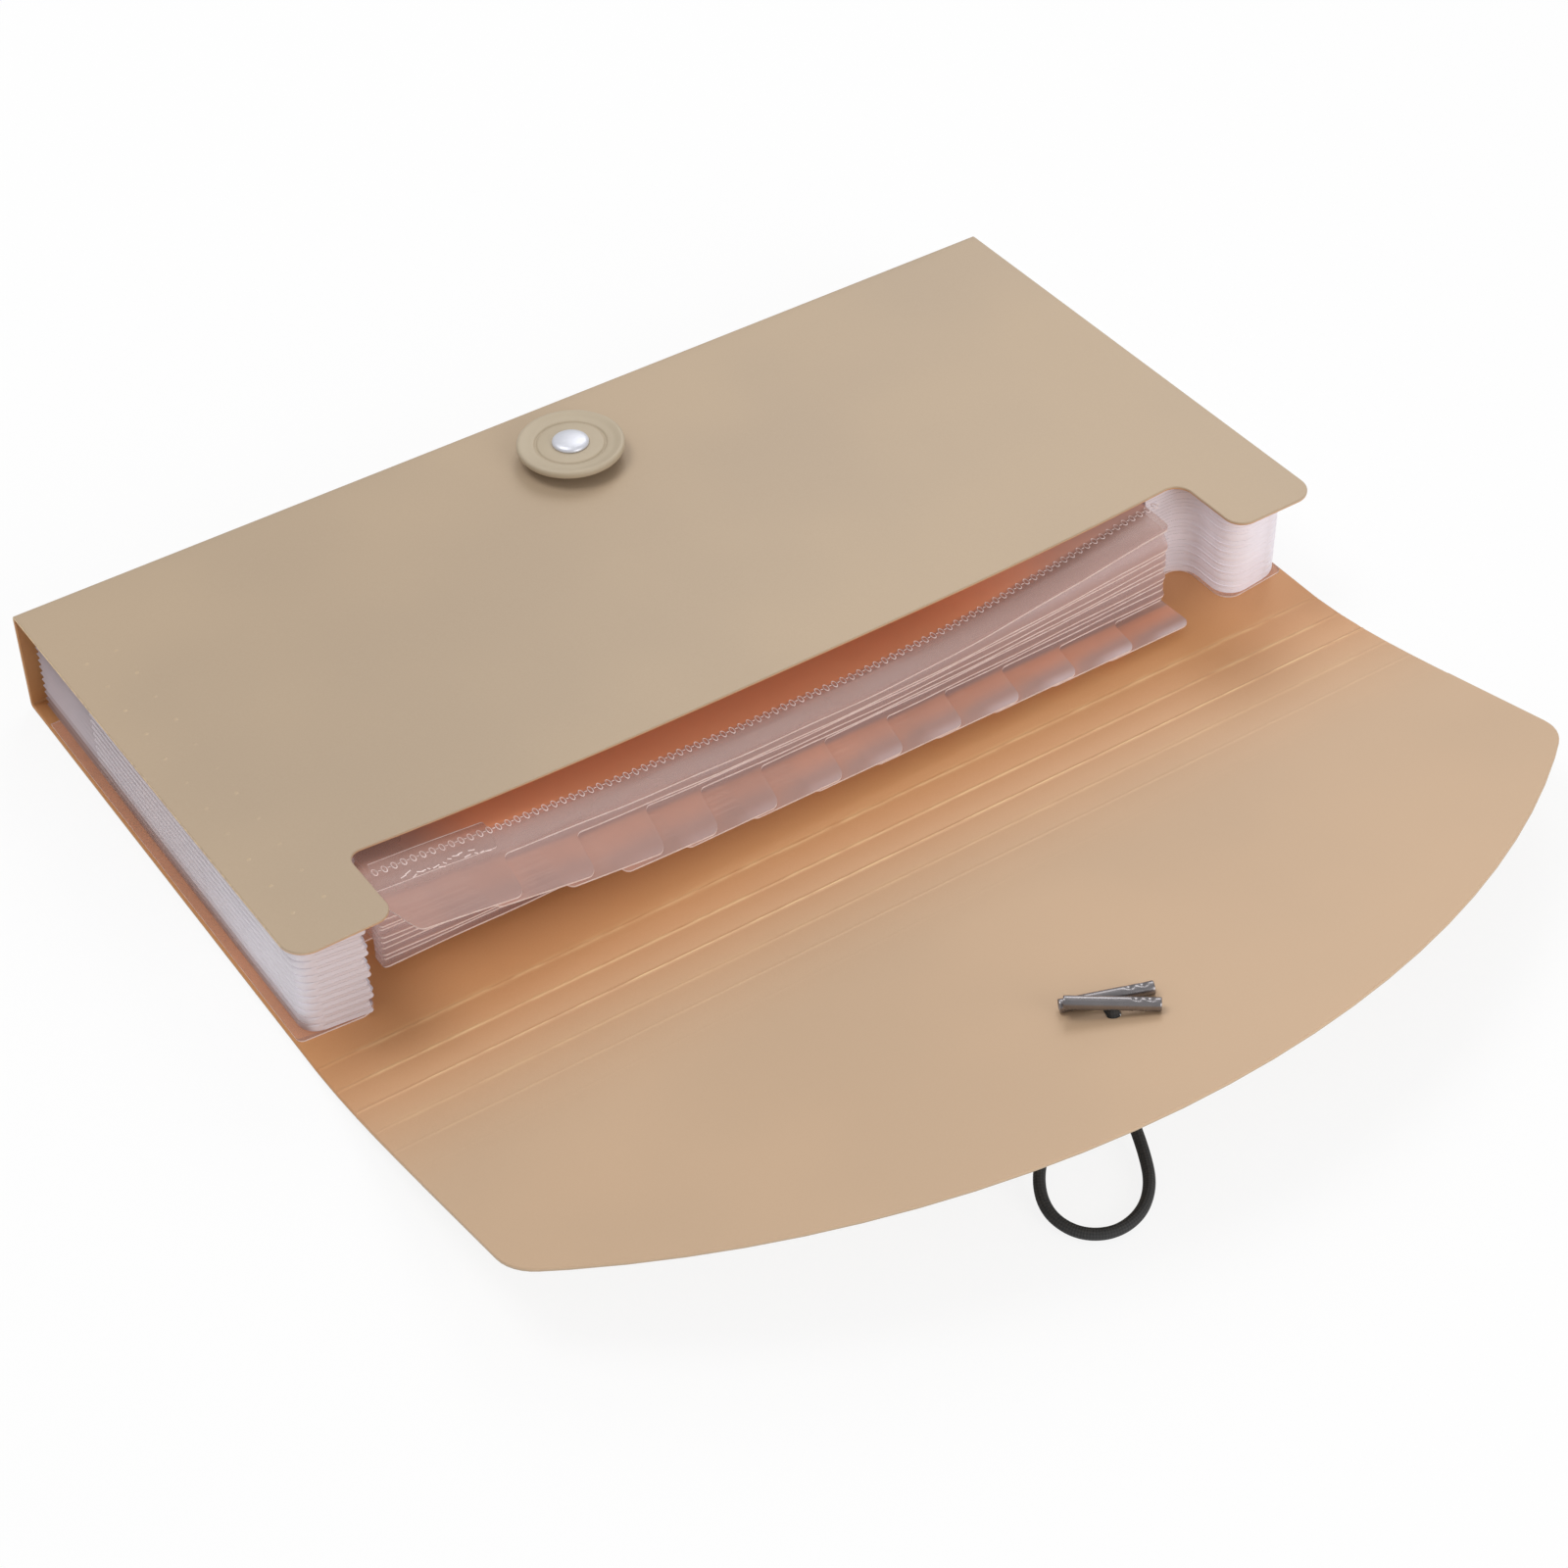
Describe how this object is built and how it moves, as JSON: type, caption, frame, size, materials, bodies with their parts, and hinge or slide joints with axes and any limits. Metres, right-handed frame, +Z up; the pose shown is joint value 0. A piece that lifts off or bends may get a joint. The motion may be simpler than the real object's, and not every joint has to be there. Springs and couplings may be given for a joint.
{
  "type": "accordion file folder",
  "caption": "Small plastic expanding file lying open: tan creased cover with a closing flap, clear pleated pockets with stepped index tabs, a round button and an elastic loop with steel barbs.",
  "frame": {"origin": "the middle of the back cover's underside, which lies on the table", "axes": "+X along the spine to the right as seen from the mouth, +Y from the mouth to the spine, +Z up"},
  "size_m": [0.26, 0.2588, 0.0321],
  "materials": {
    "cover": "satin tan polypropylene sheet",
    "film": "clear frosted film",
    "button": "satin moulded plastic",
    "rivet": "bright domed rivet",
    "steel": "crimped steel tube",
    "elastic": "braided elastic cord"
  },
  "bodies": {
    "case": {"back_cover": "cover", "spine_panel": "cover", "back_pocket_panel": "film", "left_gusset": "film", "right_gusset": "film", "bottom_gusset": "film"},
    "front": {"front_cover": "cover", "front_pocket_panel": "film", "button_spacer": "button", "button_rivet": "rivet", "rivet_washer": "rivet"},
    "button": {"button_disc": "button"},
    "divider_01": {"divider_01": "film"},
    "divider_02": {"divider_02": "film"},
    "divider_03": {"divider_03": "film"},
    "divider_04": {"divider_04": "film"},
    "divider_05": {"divider_05": "film"},
    "divider_06": {"divider_06": "film"},
    "divider_07": {"divider_07": "film"},
    "divider_08": {"divider_08": "film"},
    "divider_09": {"divider_09": "film"},
    "divider_10": {"divider_10": "film"},
    "divider_11": {"divider_11": "film"},
    "divider_12": {"divider_12": "film"},
    "strip_1": {"flap_strip_1": "cover"},
    "strip_2": {"flap_strip_2": "cover"},
    "strip_3": {"flap_strip_3": "cover"},
    "strip_4": {"flap_strip_4": "cover"},
    "strip_5": {"flap_strip_5": "cover"},
    "flap": {"flap_panel": "cover", "elastic_loop": "elastic", "front_barb": "steel", "rear_barb": "steel"}
  },
  "joints": [
    {"name": "cover_hinge", "type": "hinge", "parent": "case", "child": "front", "pos_m": [0, 0.0655, 0.0256], "axis": [-1, 0, 0], "range_deg": [-5.2, 2.6], "stiffness_Nm_per_rad": 2, "springref_deg": 1.23, "deforming": ["left_gusset", "right_gusset", "bottom_gusset"]},
    {"name": "divider_01_hinge", "type": "hinge", "parent": "case", "child": "divider_01", "pos_m": [0, 0.0655, 0.0256], "axis": [-1, 0, 0], "range_deg": [-4.8, 2.4]},
    {"name": "divider_02_hinge", "type": "hinge", "parent": "case", "child": "divider_02", "pos_m": [0, 0.0655, 0.0256], "axis": [-1, 0, 0], "range_deg": [-4.4, 2.2]},
    {"name": "divider_03_hinge", "type": "hinge", "parent": "case", "child": "divider_03", "pos_m": [0, 0.0655, 0.0256], "axis": [-1, 0, 0], "range_deg": [-4, 2]},
    {"name": "divider_04_hinge", "type": "hinge", "parent": "case", "child": "divider_04", "pos_m": [0, 0.0655, 0.0256], "axis": [-1, 0, 0], "range_deg": [-3.6, 1.8]},
    {"name": "divider_05_hinge", "type": "hinge", "parent": "case", "child": "divider_05", "pos_m": [0, 0.0655, 0.0256], "axis": [-1, 0, 0], "range_deg": [-3.2, 1.6]},
    {"name": "divider_06_hinge", "type": "hinge", "parent": "case", "child": "divider_06", "pos_m": [0, 0.0655, 0.0256], "axis": [-1, 0, 0], "range_deg": [-2.8, 1.4]},
    {"name": "divider_07_hinge", "type": "hinge", "parent": "case", "child": "divider_07", "pos_m": [0, 0.0655, 0.0256], "axis": [-1, 0, 0], "range_deg": [-2.4, 1.2]},
    {"name": "divider_08_hinge", "type": "hinge", "parent": "case", "child": "divider_08", "pos_m": [0, 0.0655, 0.0256], "axis": [-1, 0, 0], "range_deg": [-2, 1]},
    {"name": "divider_09_hinge", "type": "hinge", "parent": "case", "child": "divider_09", "pos_m": [0, 0.0655, 0.0256], "axis": [-1, 0, 0], "range_deg": [-1.6, 0.8]},
    {"name": "divider_10_hinge", "type": "hinge", "parent": "case", "child": "divider_10", "pos_m": [0, 0.0655, 0.0256], "axis": [-1, 0, 0], "range_deg": [-1.2, 0.6]},
    {"name": "divider_11_hinge", "type": "hinge", "parent": "case", "child": "divider_11", "pos_m": [0, 0.0655, 0.0256], "axis": [-1, 0, 0], "range_deg": [-0.8, 0.4]},
    {"name": "divider_12_hinge", "type": "hinge", "parent": "case", "child": "divider_12", "pos_m": [0, 0.0655, 0.0256], "axis": [-1, 0, 0], "range_deg": [-0.402, 0.202]},
    {"name": "flap_crease_1", "type": "hinge", "parent": "case", "child": "strip_1", "pos_m": [0, -0.0693, 0.0008], "axis": [-1, 0, 0], "range_deg": [-4.4, 55.6], "stiffness_Nm_per_rad": 1, "springref_deg": 0.91},
    {"name": "flap_crease_2", "type": "hinge", "parent": "strip_1", "child": "strip_2", "pos_m": [0, -0.07728, 0.00141], "axis": [-1, 0, 0], "range_deg": [-3.5, 16.5], "stiffness_Nm_per_rad": 1, "springref_deg": 0.79},
    {"name": "flap_crease_3", "type": "hinge", "parent": "strip_2", "child": "strip_3", "pos_m": [0, -0.0852, 0.00251], "axis": [-1, 0, 0], "range_deg": [-2.6, 7.4], "stiffness_Nm_per_rad": 1, "springref_deg": 0.68},
    {"name": "flap_crease_4", "type": "hinge", "parent": "strip_3", "child": "strip_4", "pos_m": [0, -0.09307, 0.00397], "axis": [-1, 0, 0], "range_deg": [-1.7, 8.3], "stiffness_Nm_per_rad": 1, "springref_deg": 0.58},
    {"name": "flap_crease_5", "type": "hinge", "parent": "strip_4", "child": "strip_5", "pos_m": [0, -0.10089, 0.00566], "axis": [-1, 0, 0], "range_deg": [-0.8, 19.2], "stiffness_Nm_per_rad": 1, "springref_deg": 0.49},
    {"name": "flap_crease_6", "type": "hinge", "parent": "strip_5", "child": "flap", "pos_m": [0, -0.10868, 0.00746], "axis": [-1, 0, 0], "range_deg": [-0.8, 59.2], "stiffness_Nm_per_rad": 1, "springref_deg": 0.4},
    {"name": "button_turn", "type": "hinge", "parent": "front", "child": "button", "pos_m": [0, 0.044, 0.02599], "axis": [0, 0.0183, 0.9998], "continuous": true}
  ],
  "couplings": [
    {"joint": "divider_01_hinge", "follows": "cover_hinge", "ratio": 0.92308},
    {"joint": "divider_02_hinge", "follows": "cover_hinge", "ratio": 0.84615},
    {"joint": "divider_03_hinge", "follows": "cover_hinge", "ratio": 0.76923},
    {"joint": "divider_04_hinge", "follows": "cover_hinge", "ratio": 0.69231},
    {"joint": "divider_05_hinge", "follows": "cover_hinge", "ratio": 0.61538},
    {"joint": "divider_06_hinge", "follows": "cover_hinge", "ratio": 0.53846},
    {"joint": "divider_07_hinge", "follows": "cover_hinge", "ratio": 0.46154},
    {"joint": "divider_08_hinge", "follows": "cover_hinge", "ratio": 0.38461},
    {"joint": "divider_09_hinge", "follows": "cover_hinge", "ratio": 0.30769},
    {"joint": "divider_10_hinge", "follows": "cover_hinge", "ratio": 0.23077},
    {"joint": "divider_11_hinge", "follows": "cover_hinge", "ratio": 0.15385},
    {"joint": "divider_12_hinge", "follows": "cover_hinge", "ratio": 0.076923}
  ]
}
